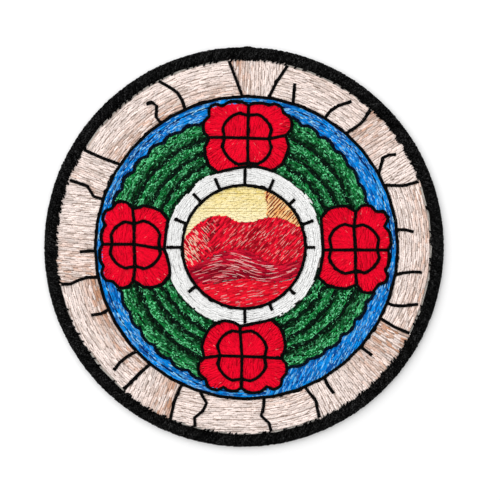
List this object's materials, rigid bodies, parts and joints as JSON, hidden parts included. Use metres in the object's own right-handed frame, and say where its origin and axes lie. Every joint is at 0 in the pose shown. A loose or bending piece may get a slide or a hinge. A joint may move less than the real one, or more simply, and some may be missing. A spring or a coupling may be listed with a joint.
{
  "type": "embroidered patch",
  "caption": "Round machine-embroidered cloth patch with an overlocked border, picturing a rose window with masonry, roses and a round centre picture.",
  "frame": {"origin": "centre of the underside, on the surface that the patch lies on", "axes": "+Z out of the embroidered face, +Y to the top of the picture, +X to its right"},
  "size_m": [0.08, 0.08, 0.0019],
  "materials": {
    "border_yarn": "matte polyester overlock yarn",
    "outline_thread": "black embroidery thread",
    "stone_thread": "satin embroidery thread, cream shading to tan",
    "white_thread": "satin embroidery thread",
    "blue_thread": "satin embroidery thread",
    "green_thread": "satin embroidery thread with pale glints",
    "red_thread": "satin embroidery thread",
    "straw_thread": "satin embroidery thread",
    "orange_thread": "satin embroidery thread hatched with red",
    "crimson_thread": "satin embroidery thread",
    "scarlet_thread": "satin embroidery thread",
    "twill": "plain twill cloth",
    "film": "milky heat-seal film"
  },
  "bodies": {
    "root": {"backing_film": "film", "twill_ground": "twill", "overlock_border": "border_yarn", "stone_01": "stone_thread", "stone_02": "stone_thread", "stone_03": "stone_thread", "stone_04": "stone_thread", "stone_05": "stone_thread", "stone_06": "stone_thread", "stone_07": "stone_thread", "stone_08": "stone_thread", "stone_09": "stone_thread", "stone_10": "stone_thread", "stone_11": "stone_thread", "stone_12": "stone_thread", "stone_13": "stone_thread", "stone_14": "stone_thread", "masonry_outline": "outline_thread", "blue_field": "blue_thread", "garland_1": "green_thread", "garland_2": "green_thread", "garland_3": "green_thread", "garland_4": "green_thread", "garland_1_edge_line": "outline_thread", "garland_1_upper_line": "outline_thread", "garland_1_middle_line": "outline_thread", "garland_1_waved_line": "outline_thread", "garland_2_edge_line": "outline_thread", "garland_2_upper_line": "outline_thread", "garland_2_middle_line": "outline_thread", "garland_2_waved_line": "outline_thread", "garland_3_edge_line": "outline_thread", "garland_3_upper_line": "outline_thread", "garland_3_middle_line": "outline_thread", "garland_3_waved_line": "outline_thread", "garland_4_edge_line": "outline_thread", "garland_4_upper_line": "outline_thread", "garland_4_middle_line": "outline_thread", "garland_4_waved_line": "outline_thread", "rose_1": "red_thread", "rose_1_outline": "outline_thread", "rose_2": "red_thread", "rose_2_outline": "outline_thread", "rose_3": "red_thread", "rose_3_outline": "outline_thread", "rose_4": "red_thread", "rose_4_outline": "outline_thread", "dial_field": "white_thread", "dial_outline": "outline_thread", "picture_sky": "straw_thread", "picture_glow": "orange_thread", "picture_hills": "red_thread", "picture_trough": "crimson_thread", "picture_foot": "scarlet_thread"}
  },
  "joints": []
}
